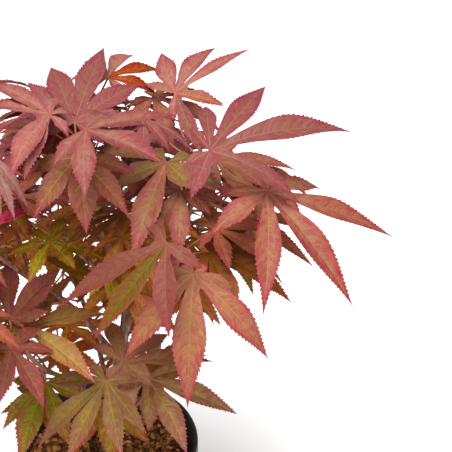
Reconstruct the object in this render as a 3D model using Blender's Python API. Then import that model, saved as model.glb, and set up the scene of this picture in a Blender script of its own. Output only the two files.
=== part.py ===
# A young potted maple with palmate leaves: nursery pot, potting mix, trunk, boughs
# and foliage masses.
# Lengths are in millimetres in this file and become metres when a mesh is made.
# The origin is the middle of the pot's flat underside, +Z is up and -Y is the front.

import math
import random

import bpy
import bmesh
from mathutils import Matrix, Vector
from mathutils.bvhtree import BVHTree

MM = 0.001
GAP = 0.3                   # clearance between pieces that touch on the real plant
SEED = 11

# Round nursery pot
POT_HEIGHT = 92.0
LIP_RADIUS = 52.5           # outside of the rolled lip
LIP_DEPTH = 9.0             # height of the lip's band
LIP_STEP = 2.6              # how far the lip stands out of the wall
FOOT_RADIUS = 37.0          # outside of the wall at the underside
WALL = 1.8
FLOOR = 2.4
DRAIN_RADIUS = 3.5
DRAIN_CIRCLE = 25.0
DRAIN_COUNT = 6
DRAIN_SIDES = 12
POT_SIDES = 40

# Potting mix
SOIL_TOP = 80.0

# Trunk: a flat cut on the mix, a root flare, a lean to the right, then the fork
TRUNK_PATH = [(0, 0, SOIL_TOP + GAP), (1, 0, 100), (5, 1, 130), (10, 1, 160), (16, 2, 190)]
TRUNK_FOOT_RADIUS = 4.2
TRUNK_FORK_RADIUS = 2.4
FLARE = 3.2                 # what the roots add to the radius at the foot
FLARE_HEIGHT = 9.0
FLARE_ROOTS = 5
TRUNK_SIDES = 14
LIMB_SIDES = 7
STEM_SIDES = 5
PETIOLE_SIDES = 3

STEM_RADIUS = 1.2           # a mass's stem where it leaves its bough
STEM_TIP_RADIUS = 0.7
PETIOLE_RADIUS = 0.6

# One leaf has seven lobes. Lobe length is a share of the middle lobe's.
LOBE_TURNS = (-128, -82, -40, 0, 40, 82, 128)
LOBE_LENGTHS = (0.36, 0.68, 0.92, 1.0, 0.92, 0.68, 0.36)
LOBE_HALF_WIDTH = 0.12      # of the lobe's own length
WIDEST = 0.52               # where along the lobe that is
NOTCH = 0.2                 # the cut between two lobes ends here
BLADE_THICKNESS = 1.1       # more than a hundredth of the leaf's length
HUB_THICKNESS = 2.2
HEEL = 2.0                  # blade behind the petiole's joint
CLEAR = 0.5                 # least space kept between leaves

# Boughs: where each leaves its parent limb (share of its length), radii and path
BOUGHS = {
    "bough_leader": ("trunk", 1.0, 2.0, 1.4, [(10, 4, 216), (1, 4, 246), (-4, 2, 272)]),
    "bough_right": ("trunk", 0.93, 2.0, 1.4, [(30, -4, 212), (42, -8, 236), (50, -10, 262)]),
    "bough_front": ("bough_right", 0.3, 1.5, 1.2, [(34, -20, 224), (42, -32, 244)]),
    "bough_left": ("trunk", 0.72, 1.8, 1.2, [(-14, -4, 194), (-38, -10, 222), (-58, -14, 246)]),
    "bough_back": ("trunk", 0.82, 1.7, 1.2, [(14, 24, 204), (8, 46, 236), (2, 60, 262)]),
    "bough_low_left": ("trunk", 0.36, 1.6, 1.2, [(-14, -8, 142), (-30, -16, 160)]),
    "bough_low_front": ("trunk", 0.22, 1.5, 1.1, [(12, -12, 122), (17, -24, 138)]),
    "bough_low_back": ("trunk", 0.45, 1.6, 1.2, [(-6, 22, 154), (-18, 44, 174)]),
    "bough_low_right": ("trunk", 0.6, 1.6, 1.2, [(27, 24, 176), (38, 42, 196)]),
    "bough_inner": ("bough_leader", 0.3, 1.4, 1.1, [(0, -4, 222), (-8, -8, 234)]),
    "bough_left_front": ("bough_left", 0.4, 1.3, 1.1, [(-40, -20, 208), (-56, -32, 218)]),
    "bough_left_back": ("bough_left", 0.6, 1.4, 1.1, [(-44, 12, 234), (-54, 30, 250)]),
    "bough_right_back": ("bough_right", 0.35, 1.4, 1.1, [(42, 16, 226), (52, 36, 244)]),
}


def leaf(x, y, z, heading, pitch, roll, lobe, droop=30, spread=1.0, lobes=7):
    """One leaf: its joint, the way its middle lobe points and tips, and its size."""
    return dict(at=Vector((x, y, z)), heading=heading, pitch=pitch, roll=roll,
                lobe=lobe, droop=droop, spread=spread, lobes=lobes)


# Foliage masses: the bough each one grows from, the nodes of its stem, the leaves that
# lead its outline, and how many more leaves the rule may add
MASSES = {
    "foliage_top": ("bough_leader", [(-6, 1, 286), (-6, 0, 300)], [
        leaf(-18, -10, 321, 180, 4, 5, 50, 35, 1.1),
        leaf(-8, 10, 304, 78, 20, 0, 54, 25, 0.9),
        leaf(1, -25, 322, -32, 0, 0, 48, 35, 1.3, 5),
        leaf(-4, -25, 306, -84, -18, 0, 46, 30, 1.1),
    ], 2),
    "foliage_right": ("bough_right", [(54, -9, 274), (60, -6, 286)], [
        leaf(61, -27, 311, 28, 3, 15, 76, 24, 1.1),
        leaf(42, 42, 302, 32, 20, 8, 51, 18, 1.0),
        leaf(89, -30, 289, -46, -10, 0, 75, 38, 1.05),
        leaf(39, -10, 293, -108, -15, 0, 50, 30, 1.0),
        leaf(26, 20, 300, -46, -5, 0, 34, 40, 1.0, 5),
        leaf(63, 30, 268, -15, 0, 0, 46, 30, 1.0),
        leaf(69, 10, 248, -65, -15, 0, 28, 35, 1.1, 5),
    ], 2),
    "foliage_front": ("bough_front", [(44, -36, 254), (46, -40, 264)], [
        leaf(46, -14, 279, -90, -12, 0, 37, 35, 1.0, 5),
        leaf(40, -58, 278, -125, -30, 0, 60, 30, 1.0, 5),
        leaf(60, -30, 252, -30, -5, 0, 53, 30, 1.0),
        leaf(53, -58, 260, -94, -30, 0, 64, 38, 1.0),
    ], 2),
    "foliage_low_left": ("bough_low_left", [(-36, -20, 172), (-40, -24, 184)], [
        leaf(-48, -9, 190, 62, 14, 0, 48, 35, 1.0),
        leaf(-36, -30, 202, 10, 6, 0, 47, 30, 1.4),
        leaf(-40, -58, 211, -62, -16, 0, 37, 35, 1.5, 5),
        leaf(-30, -18, 153, -100, -15, 0, 30, 25, 1.2, 5),
        leaf(-28, -39, 155, -118, -30, 0, 44, 25, 1.0),
    ], 0),
    "foliage_low_front": ("bough_low_front", [(18, -28, 148), (18, -30, 154)], [
        leaf(14, -29, 177, 2, 6, 0, 49, 22, 1.0),
        leaf(6, -49, 182, -116, -28, 0, 49, 25, 0.9),
        leaf(26, -25, 162, -60, -20, 0, 50, 25, 1.2),
        leaf(1, -20, 142, -78, -25, 0, 38, 25, 1.0, 5),
    ], 0),
    "foliage_low_back": ("bough_low_back", [(-24, 52, 184), (-28, 58, 192)], [
        leaf(-33, 60, 200, -85, -8, 0, 32, 20, 1.1),
        leaf(-20, 8, 172, 55, -2, 0, 36, 25, 1.1),
    ], 6),
    "foliage_left": ("bough_left", [(-66, -14, 258), (-74, -16, 270), (-82, -16, 280)], [
        leaf(-36, -20, 279, 50, 0, 0, 30, 30, 1.2, 5),
    ], 8),
    "foliage_back": ("bough_back", [(0, 66, 272), (-2, 72, 282)], [
        leaf(6, 56, 303, 75, 10, 0, 42, 45, 1.0),
    ], 7),
    "foliage_low_right": ("bough_low_right", [(42, 52, 206), (45, 60, 216)], [], 6),
    "foliage_inner": ("bough_inner", [(-12, -10, 242), (-15, -10, 250)], [
        leaf(24, 22, 240, -60, -10, 5, 40, 30, 1.0),
        leaf(-14, 34, 232, -125, -10, 0, 36, 28, 1.0, 5),
        leaf(-24, -16, 247, -80, -10, 0, 32, 28, 1.0, 5),
    ], 3),
    "foliage_left_front": ("bough_left_front", [(-64, -38, 226), (-70, -42, 234)], [], 7),
    "foliage_left_back": ("bough_left_back", [(-58, 40, 262), (-62, 46, 272)], [], 7),
    "foliage_right_back": ("bough_right_back", [(58, 46, 256), (62, 54, 266)], [], 6),
}

# The rule for the leaves that fill a mass
PETIOLE_LENGTH = (22, 40)
FILL_LOBE = (36, 56)
FILL_PITCH = (-22, 4)
FILL_DROOP = (22, 38)
FILL_TRIES = 60

# The crown's outline for those leaves: an egg shape, middle and half sizes
CROWN_MIDDLE = Vector((-14, 8, 215))
CROWN_HALF = Vector((140, 118, 104))


def material(name, colour, roughness, metallic=0.0):
    made = bpy.data.materials.new(name)
    made.use_nodes = True
    shader = made.node_tree.nodes["Principled BSDF"]
    shader.inputs["Base Color"].default_value = (*colour, 1.0)
    shader.inputs["Roughness"].default_value = roughness
    shader.inputs["Metallic"].default_value = metallic
    return made


def new_object(name, points, faces, finish=None):
    """An object from points in millimetres, its faces turned outwards."""
    mesh = bpy.data.meshes.new(name)
    mesh.from_pydata([Vector(p) * MM for p in points], [], faces)
    sheet = bmesh.new()
    sheet.from_mesh(mesh)
    bmesh.ops.recalc_face_normals(sheet, faces=sheet.faces)
    sheet.to_mesh(mesh)
    sheet.free()
    if finish:
        mesh.materials.append(finish)
    made = bpy.data.objects.new(name, mesh)
    bpy.context.scene.collection.objects.link(made)
    return made


def fuse(item, pieces, operation):
    """One Boolean of the item with all the pieces, applied; the pieces then go."""
    group = bpy.data.collections.new("pieces")
    bpy.context.scene.collection.children.link(group)
    for piece in pieces:
        bpy.context.scene.collection.objects.unlink(piece)
        group.objects.link(piece)
    step = item.modifiers.new("fuse", "BOOLEAN")
    step.operation = operation
    step.operand_type = "COLLECTION"
    step.collection = group
    depsgraph = bpy.context.evaluated_depsgraph_get()
    mesh = bpy.data.meshes.new_from_object(item.evaluated_get(depsgraph))
    item.modifiers.clear()
    item.data = mesh
    for piece in pieces:
        bpy.data.objects.remove(piece)
    bpy.data.collections.remove(group)


def curve_through(points, steps):
    """A smooth curve (Catmull-Rom) through the points, steps pieces to each span."""
    pts = [Vector(p) for p in points]
    ends = [pts[0] * 2 - pts[1]] + pts + [pts[-1] * 2 - pts[-2]]
    out = []
    for i in range(1, len(ends) - 2):
        a, b, c, d = ends[i - 1:i + 3]
        for k in range(steps):
            t = k / steps
            out.append(0.5 * (2 * b + (c - a) * t + (2 * a - 5 * b + 4 * c - d) * t ** 2
                              + (3 * b - a - 3 * c + d) * t ** 3))
    out.append(pts[-1])
    return out


def tube_shape(path, radii, sides, turn_start=None):
    """Points and faces of a closed tube with flat ends; radii has one value a point."""
    points, faces = [], []
    side = None
    for i, here in enumerate(path):
        ahead = path[min(i + 1, len(path) - 1)] - path[max(i - 1, 0)]
        ahead.normalize()
        if side is None:
            side = turn_start or ahead.orthogonal()
        side = (side - ahead * side.dot(ahead)).normalized()
        up = ahead.cross(side)
        for k in range(sides):
            angle = 2 * math.pi * k / sides
            radius = radii[i](angle) if callable(radii[i]) else radii[i]
            points.append(here + (side * math.cos(angle) + up * math.sin(angle)) * radius)
    for i in range(len(path) - 1):
        for k in range(sides):
            n = (k + 1) % sides
            faces.append((i * sides + k, i * sides + n, (i + 1) * sides + n, (i + 1) * sides + k))
    faces.append(tuple(reversed(range(sides))))
    faces.append(tuple(range((len(path) - 1) * sides, len(path) * sides)))
    return points, faces


def blend(a, b, t):
    return a + (b - a) * t


# ---- pot and mix

def turned(name, profile, finish):
    """A solid turned about Z from a profile that starts and ends on the axis."""
    points, faces = [Vector((0, 0, profile[0][1]))], []
    rings = profile[1:-1]
    for radius, z in rings:
        for k in range(POT_SIDES):
            angle = 2 * math.pi * k / POT_SIDES
            points.append(Vector((radius * math.cos(angle), radius * math.sin(angle), z)))
    points.append(Vector((0, 0, profile[-1][1])))
    last = len(points) - 1
    for k in range(POT_SIDES):
        n = (k + 1) % POT_SIDES
        faces.append((0, 1 + k, 1 + n))
        for i in range(len(rings) - 1):
            low, high = 1 + i * POT_SIDES, 1 + (i + 1) * POT_SIDES
            faces.append((low + k, low + n, high + n, high + k))
        top = 1 + (len(rings) - 1) * POT_SIDES
        faces.append((top + k, top + n, last))
    return new_object(name, points, faces, finish)


def wall_radius(z):
    """Outside radius of the pot's wall at a height."""
    return blend(FOOT_RADIUS, LIP_RADIUS - LIP_STEP, z / POT_HEIGHT)


def make_pot():
    plastic = material("pot_plastic", (0.03, 0.033, 0.037), 0.45)
    lip_foot = POT_HEIGHT - LIP_DEPTH
    step = 0.8
    roll = 1.2
    profile = [
        (0, 0),
        (FOOT_RADIUS - 1.0, 0),
        (FOOT_RADIUS, 1.0),
        (wall_radius(lip_foot), lip_foot),
        (LIP_RADIUS - 1.2, lip_foot + step),
        (LIP_RADIUS, POT_HEIGHT - 3.0),
        (LIP_RADIUS - 0.4, POT_HEIGHT - roll),
        (LIP_RADIUS - 1.4, POT_HEIGHT),
        (LIP_RADIUS - LIP_STEP, POT_HEIGHT),
        (LIP_RADIUS - LIP_STEP - 1.0, POT_HEIGHT - roll),
        (wall_radius(lip_foot) - WALL, lip_foot - 2.0),
        (wall_radius(FLOOR) - WALL, FLOOR),
        (0, FLOOR),
    ]
    pot = turned("pot", profile, plastic)
    drills = []
    for k in range(DRAIN_COUNT):
        angle = 2 * math.pi * (k + 0.5) / DRAIN_COUNT
        middle = Vector((math.cos(angle), math.sin(angle), 0)) * DRAIN_CIRCLE
        path = [middle + Vector((0, 0, z)) for z in (-FLOOR, 2 * FLOOR)]
        drills.append(new_object("drill", *tube_shape(path, [DRAIN_RADIUS] * 2, DRAIN_SIDES)))
    fuse(pot, drills, "DIFFERENCE")
    pot.data.shade_smooth()
    pot.data.set_sharp_from_angle(angle=math.radians(35))


def make_mix():
    soil = material("potting_mix", (0.16, 0.075, 0.03), 0.95)
    low = FLOOR + GAP
    inner_low = wall_radius(FLOOR) - WALL - GAP - 0.1
    lip_foot = POT_HEIGHT - LIP_DEPTH
    slope = (wall_radius(lip_foot) - wall_radius(FLOOR)) / (lip_foot - 2.0 - FLOOR)
    inner_top = inner_low + slope * (SOIL_TOP - low)
    profile = [(0, low), (inner_low, low), (inner_top, SOIL_TOP - 1.0),
               (inner_top - 1.5, SOIL_TOP), (0, SOIL_TOP)]
    return turned("potting_mix", profile, soil)


# ---- limbs

def make_trunk():
    bark = material("bark", (0.19, 0.13, 0.095), 0.85)
    path = curve_through(TRUNK_PATH, 3)
    height = path[-1].z - path[0].z

    def radius_at(z):
        t = (z - path[0].z) / height
        plain = blend(TRUNK_FOOT_RADIUS, TRUNK_FORK_RADIUS, t ** 0.8)
        flare = FLARE * math.exp(-(z - path[0].z) / FLARE_HEIGHT)
        return lambda angle: plain + flare * (0.75 + 0.25 * math.cos(FLARE_ROOTS * angle))

    foot = [path[0], blend(path[0], path[1], 0.35)]
    path = foot + path[1:]
    radii = [radius_at(p.z) for p in path]
    points, faces = tube_shape(path, radii, TRUNK_SIDES, Vector((1, 0, 0)))
    for i in range(TRUNK_SIDES):            # the cut at the foot is level
        points[i].z = path[0].z
    new_object("trunk", points, faces, bark)
    return path, [r(math.pi / FLARE_ROOTS) for r in radii]


def limb_place(path, radii, share):
    """Point, direction and radius at a share of a limb's length."""
    spot = share * (len(path) - 1)
    i = min(int(spot), len(path) - 2)
    t = spot - i
    return (blend(path[i], path[i + 1], t), (path[i + 1] - path[i]).normalized(),
            blend(radii[i], radii[i + 1], t))


def make_bough(name, limbs, bark):
    parent, share, radius, tip_radius, route = BOUGHS[name]
    at, along, parent_radius = limb_place(*limbs[parent], share)
    lead = []
    if share >= 1.0:                        # carries straight on from its parent's end
        start = at + along * GAP
        lead = [start + along * 3 * radius]
    else:
        away = (Vector(route[0]) - at).normalized()
        angle = away.angle(along)
        reach = (parent_radius + GAP + radius * abs(math.cos(angle))) / math.sin(angle)
        start = at + away * reach
    path = [start] + curve_through((lead or [start]) + route, 4)[0 if lead else 1:]
    count = len(path) - 1
    radii = [blend(radius, tip_radius, i / count) for i in range(len(path))]
    points, faces = tube_shape(path, radii, LIMB_SIDES)
    new_object(name, points, faces, bark)
    return path, radii


# ---- leaves

def leaf_frame(spec):
    """Rotation that lays a leaf's own frame (X along the middle lobe, Z up) in place."""
    return (Matrix.Rotation(math.radians(spec["heading"]), 3, "Z")
            @ Matrix.Rotation(-math.radians(spec["pitch"]), 3, "Y")
            @ Matrix.Rotation(math.radians(spec["roll"]), 3, "X"))


def lobe_point(spec, lobe, along, across=0.0):
    """A point of a lobe's middle surface, in the leaf's own frame."""
    turn = math.radians(LOBE_TURNS[lobe] * spec["spread"])
    length = spec["lobe"] * LOBE_LENGTHS[lobe]
    bend = math.radians(spec["droop"])
    out = length * math.sin(bend * along) / bend
    down = length * (1 - math.cos(bend * along)) / bend
    return Vector((out * math.cos(turn) - across * math.sin(turn),
                   out * math.sin(turn) + across * math.cos(turn), -down))


def leaf_shape(spec, thickness=BLADE_THICKNESS):
    """A closed leaf of lens section: sharp edges, full thickness down each lobe."""
    skipped = (len(LOBE_TURNS) - spec["lobes"]) // 2
    kept = range(skipped, len(LOBE_TURNS) - skipped)
    up = Vector((0, 0, 0.5))
    points = [up * HUB_THICKNESS, -up * HUB_THICKNESS, Vector((-HEEL, 0, 0))]
    notch = {kept[0]: 2, kept[-1] + 1: 2}
    for k in kept[1:]:
        points.append((lobe_point(spec, k - 1, NOTCH) + lobe_point(spec, k, NOTCH)) * 0.5)
        notch[k] = len(points) - 1
    faces = []
    for k in kept:
        half = LOBE_HALF_WIDTH * spec["lobe"] * LOBE_LENGTHS[k]
        middle = lobe_point(spec, k, WIDEST)
        first = len(points)
        points += [lobe_point(spec, k, WIDEST, -half), lobe_point(spec, k, WIDEST, half),
                   lobe_point(spec, k, 1.0), middle + up * thickness, middle - up * thickness]
        right, left, tip, top, bottom = range(first, first + 5)
        for hub, rib in ((0, top), (1, bottom)):
            faces += [(hub, notch[k], right), (hub, right, rib), (rib, right, tip),
                      (rib, tip, left), (hub, rib, left), (hub, left, notch[k + 1])]
    turn = leaf_frame(spec)
    return [turn @ p + spec["at"] for p in points], faces


def petiole_shape(spec, start):
    """A thin stalk from the stem to the leaf's joint, which it reaches from behind."""
    joint = spec["at"]
    heading = math.radians(spec["heading"])
    behind = Vector((math.cos(heading), math.sin(heading), 0.5)) * -0.25
    middle = (joint + start) * 0.5 + behind * (joint - start).length * 0.5
    path = [start, blend(middle, (joint + start) * 0.5, 0.3), joint]
    radii = [PETIOLE_RADIUS, PETIOLE_RADIUS * 0.9, PETIOLE_RADIUS]
    return tube_shape(path, radii, PETIOLE_SIDES)


def tree_of(points, faces):
    return BVHTree.FromPolygons(points, faces)


def leaf_fits(mass, spec, start, placed):
    """True where a leaf and its stalk cut through nothing that is already there."""
    blade = tree_of(*leaf_shape(spec, BLADE_THICKNESS + 2 * CLEAR))
    stalk = tree_of(*petiole_shape(spec, start))
    for owner, kind, tree in placed:
        if blade.overlap(tree):
            return False
        if (owner != mass or kind == "blade") and stalk.overlap(tree):
            return False
    return True


def inside_crown(spec):
    """True where no lobe of a leaf reaches out of the crown's outline."""
    turn = leaf_frame(spec)
    for k in range(len(LOBE_TURNS)):
        out = turn @ lobe_point(spec, k, 1.0) + spec["at"] - CROWN_MIDDLE
        if sum((out[i] / CROWN_HALF[i]) ** 2 for i in range(3)) > 1:
            return False
    return True


def fill_leaf(nodes, index, rng):
    """The rule: opposite pairs up the stem, each pair turned a quarter from the last."""
    node = nodes[(index // 2) % len(nodes)]
    turn = 90 * (index // 2) + 180 * (index % 2) + rng.uniform(-35, 35)
    length = rng.uniform(*PETIOLE_LENGTH)
    rise = rng.uniform(-5, 40)
    away = Vector((math.cos(math.radians(turn)), math.sin(math.radians(turn)), 0))
    at = node + away * length * math.cos(math.radians(rise))
    at.z += length * math.sin(math.radians(rise))
    return leaf(*at, turn + rng.uniform(-20, 20), rng.uniform(*FILL_PITCH),
                rng.uniform(-12, 12), rng.uniform(*FILL_LOBE), rng.uniform(*FILL_DROOP),
                rng.uniform(0.95, 1.1)), node


def nearest(nodes, place):
    return min(nodes, key=lambda node: (node - place).length)


def stem_shape(stem):
    count = len(stem) - 1
    radii = [blend(STEM_RADIUS, STEM_TIP_RADIUS, i / count) for i in range(len(stem))]
    return tube_shape(stem, radii, STEM_SIDES)


def plan_masses(limbs):
    """Every leaf of the plant with the point its stalk starts from, mass by mass."""
    rng = random.Random(SEED)
    plan, stems = {}, {}
    placed = [(name, "wood", tree_of(*tube_shape(path, radii, LIMB_SIDES)))
              for name, (path, radii) in limbs.items()]

    def add(mass, spec, root):
        plan[mass].append((spec, root))
        placed.append((mass, "blade", tree_of(*leaf_shape(spec))))
        placed.append((mass, "stalk", tree_of(*petiole_shape(spec, root))))

    for name, (bough, route, _, _) in MASSES.items():
        path = limbs[bough][0]
        start = path[-1] + (path[-1] - path[-2]).normalized() * GAP
        stems[name] = [start] + [Vector(p) for p in route]
        placed.append((name, "stem", tree_of(*stem_shape(stems[name]))))
        plan[name] = []
    for name, (_, _, leading, _) in MASSES.items():
        for spec in leading:
            add(name, spec, nearest(stems[name][1:], spec["at"]))
    for name, (_, _, _, extra) in MASSES.items():
        for index in range(extra):
            for _ in range(FILL_TRIES):
                spec, root = fill_leaf(stems[name][1:], index, rng)
                if inside_crown(spec) and leaf_fits(name, spec, root, placed):
                    add(name, spec, root)
                    break
    return plan, stems


def make_mass(name, leaves, stem, finish):
    """One stem with its stalks and leaves, fused to one solid."""
    mass = new_object(name, *stem_shape(stem), finish)
    pieces = []
    for spec, root in leaves:
        pieces.append(new_object("blade", *leaf_shape(spec), finish))
        pieces.append(new_object("stalk", *petiole_shape(spec, root), finish))
    fuse(mass, pieces, "UNION")


def main():
    for item in list(bpy.data.objects):
        bpy.data.objects.remove(item)
    make_pot()
    make_mix()
    limbs = {"trunk": make_trunk()}
    bark = material("young_bark", (0.2, 0.1, 0.07), 0.7)
    for name in BOUGHS:
        limbs[name] = make_bough(name, limbs, bark)
    plan, stems = plan_masses(limbs)
    leaf_skin = material("leaf", (0.42, 0.13, 0.11), 0.6)
    for name in MASSES:
        make_mass(name, plan[name], stems[name], leaf_skin)
        print(name, len(plan[name]), "leaves")
    print("leaves in all:", sum(len(leaves) for leaves in plan.values()))


main()
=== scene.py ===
import math
import random

import bpy
from mathutils import Matrix, Vector, noise
from mathutils.bvhtree import BVHTree


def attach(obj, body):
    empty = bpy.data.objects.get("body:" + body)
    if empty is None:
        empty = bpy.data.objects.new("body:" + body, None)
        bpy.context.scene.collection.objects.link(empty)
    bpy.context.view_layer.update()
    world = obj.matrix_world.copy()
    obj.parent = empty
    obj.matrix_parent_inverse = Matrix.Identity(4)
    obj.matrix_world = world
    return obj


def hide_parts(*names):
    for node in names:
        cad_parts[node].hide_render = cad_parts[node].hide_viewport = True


# A young japanese maple in a nursery pot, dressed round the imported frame.
# The plan of limbs, stems and leaves is in millimetres; meshes are made in metres.

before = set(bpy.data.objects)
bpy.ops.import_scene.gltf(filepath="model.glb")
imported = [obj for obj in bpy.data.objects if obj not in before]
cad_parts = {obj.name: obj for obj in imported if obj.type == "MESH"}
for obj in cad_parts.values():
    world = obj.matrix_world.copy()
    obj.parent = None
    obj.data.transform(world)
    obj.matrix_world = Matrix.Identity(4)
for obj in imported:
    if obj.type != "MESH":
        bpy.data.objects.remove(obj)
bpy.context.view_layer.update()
bpy.ops.object.select_all(action="DESELECT")
mm = 0.001
viewDown = 36                   # degrees that the camera looks down


# Small helpers

def linear(hexColour):
    parts = [int(hexColour[i:i + 2], 16) / 255 for i in (1, 3, 5)]
    return tuple(p / 12.92 if p <= 0.04045 else ((p + 0.055) / 1.055) ** 2.4 for p in parts) + (1.0,)


def mix(a, b, t):
    return a + (b - a) * t


def ease(t):
    t = max(0.0, min(1.0, t))
    return t * t * (3 - 2 * t)


def polar(turn, out, z=0.0, across=0.0):
    # a point out along a heading, and across it to the left
    return Vector((out * math.cos(turn) - across * math.sin(turn),
                   out * math.sin(turn) + across * math.cos(turn), z))


def shaderInputs(made):
    return made.node_tree.nodes["Principled BSDF"].inputs


def newMaterial(name, colour, roughness, **sockets):
    made = bpy.data.materials.new(name)
    made.use_nodes = True
    inputs = shaderInputs(made)
    inputs["Base Color"].default_value = linear(colour)
    inputs["Roughness"].default_value = roughness
    for socket, value in sockets.items():
        inputs[socket.replace("_", " ")].default_value = value
    return made


def addNode(made, kind, settings, links):
    # settings go on the node or on its input sockets; links are (socket, from node, its output)
    node = made.node_tree.nodes.new(kind)
    for key, value in settings.items():
        if key in node.inputs:
            node.inputs[key].default_value = value
        else:
            setattr(node, key, value)
    for socket, source, output in links:
        made.node_tree.links.new(source.outputs[output], node.inputs[socket])
    return node


def addRamp(made, source, *stops):
    # stops are (place, colour): the first and the last, then any between
    ramp = addNode(made, "ShaderNodeValToRGB", {}, [("Fac", source, "Fac")])
    elements = ramp.color_ramp.elements
    for i, (place, colour) in enumerate(stops):
        element = elements[i] if i < 2 else elements.new(place)
        element.position = place
        element.color = linear(colour)
    made.node_tree.links.new(ramp.outputs["Color"], shaderInputs(made)["Base Color"])


def addBump(made, source, output, strength, relief):
    # relief is in millimetres
    bump = addNode(made, "ShaderNodeBump", {"Strength": strength, "Distance": relief * mm},
                   [("Height", source, output)])
    made.node_tree.links.new(bump.outputs["Normal"], shaderInputs(made)["Normal"])


def linked(name, mesh):
    piece = bpy.data.objects.new(name, mesh)
    bpy.context.scene.collection.objects.link(piece)
    return piece


def newStore():
    # what becomes one mesh: points in millimetres, faces, and each face's material slot
    return dict(points=[], faces=[], slots=[])


def addShape(store, points, faces, slots):
    first = len(store["points"])
    store["points"] += points
    store["faces"] += [tuple(first + v for v in face) for face in faces]
    store["slots"] += slots


def newPiece(name, store, materials, sharp=None):
    # smooth all over, but for edges sharper than so many degrees
    mesh = bpy.data.meshes.new(name)
    mesh.from_pydata([(p[0] * mm, p[1] * mm, p[2] * mm) for p in store["points"]], [], store["faces"])
    for material in materials:
        mesh.materials.append(material)
    mesh.polygons.foreach_set("material_index", store["slots"])
    if sharp:
        mesh.shade_smooth()
        mesh.set_sharp_from_angle(angle=math.radians(sharp))
    return linked(name, mesh)


def ready(piece, slot, *nodes):
    # every piece rides on the one body and stands for its solids
    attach(piece, "root")
    if nodes:
        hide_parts(*nodes)
    return piece


def only(piece):
    bpy.ops.object.select_all(action="DESELECT")
    piece.select_set(True)
    bpy.context.view_layer.objects.active = piece


# The plan: limbs, stems and leaves, by the rule that the solids follow

plan = {
    "gap": 0.3,
    "seed": 11,
    "trunkPath": [(0, 0, 80.3), (1, 0, 100), (5, 1, 130), (10, 1, 160), (16, 2, 190)],
    "trunkFoot": 4.2,
    "trunkFork": 2.4,
    "flare": 3.2,
    "flareHeight": 9.0,
    "flareRoots": 5,
    "limbSides": 7,
    "stemSides": 5,
    "stalkSides": 3,
    "stemFoot": 1.2,
    "stemTip": 0.7,
    "stalkRadius": 0.6,
    "notch": 0.2,
    "widest": 0.52,
    "lobeHalfWidth": 0.12,
    "bladeThickness": 1.1,
    "hubThickness": 2.2,
    "heel": 2.0,
    "clear": 0.5,
    "stalkLength": (22, 40),
    "fillTurn": (-35, 35),
    "fillRise": (-5, 40),
    "fillHeading": (-20, 20),
    "fillRoll": (-12, 12),
    "fillSpread": (0.95, 1.1),
    "fillLobe": (36, 56),
    "fillPitch": (-22, 4),
    "fillDroop": (22, 38),
    "fillTries": 60,
    "crownMiddle": Vector((-14, 8, 215)),
    "crownHalf": Vector((140, 118, 104)),
}
lobeTurns = (-128, -82, -40, 0, 40, 82, 128)
lobeLengths = (0.36, 0.68, 0.92, 1.0, 0.92, 0.68, 0.36)

boughs = {
    "bough_leader": ("trunk", 1.0, 2.0, 1.4, [(10, 4, 216), (1, 4, 246), (-4, 2, 272)]),
    "bough_right": ("trunk", 0.93, 2.0, 1.4, [(30, -4, 212), (42, -8, 236), (50, -10, 262)]),
    "bough_front": ("bough_right", 0.3, 1.5, 1.2, [(34, -20, 224), (42, -32, 244)]),
    "bough_left": ("trunk", 0.72, 1.8, 1.2, [(-14, -4, 194), (-38, -10, 222), (-58, -14, 246)]),
    "bough_back": ("trunk", 0.82, 1.7, 1.2, [(14, 24, 204), (8, 46, 236), (2, 60, 262)]),
    "bough_low_left": ("trunk", 0.36, 1.6, 1.2, [(-14, -8, 142), (-30, -16, 160)]),
    "bough_low_front": ("trunk", 0.22, 1.5, 1.1, [(12, -12, 122), (17, -24, 138)]),
    "bough_low_back": ("trunk", 0.45, 1.6, 1.2, [(-6, 22, 154), (-18, 44, 174)]),
    "bough_low_right": ("trunk", 0.6, 1.6, 1.2, [(27, 24, 176), (38, 42, 196)]),
    "bough_inner": ("bough_leader", 0.3, 1.4, 1.1, [(0, -4, 222), (-8, -8, 234)]),
    "bough_left_front": ("bough_left", 0.4, 1.3, 1.1, [(-40, -20, 208), (-56, -32, 218)]),
    "bough_left_back": ("bough_left", 0.6, 1.4, 1.1, [(-44, 12, 234), (-54, 30, 250)]),
    "bough_right_back": ("bough_right", 0.35, 1.4, 1.1, [(42, 16, 226), (52, 36, 244)]),
}


def leaf(coat, x, y, z, heading, pitch, roll, lobe, droop=30, spread=1.0, lobes=7, **shape):
    # shape: wide, a middle lobe's half width in mm; drawn, how long its tip is drawn out;
    # fan, by lobe, times longer, degrees turned, degrees more droop and times wider, and what is
    # left off its end is as usual; arch, by lobe, degrees that it rises before it droops; tint, by lobe
    return dict(coat=coat, at=Vector((x, y, z)), heading=heading, pitch=pitch, roll=roll,
                lobe=lobe, droop=droop, spread=spread, lobes=lobes, **shape)


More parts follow.
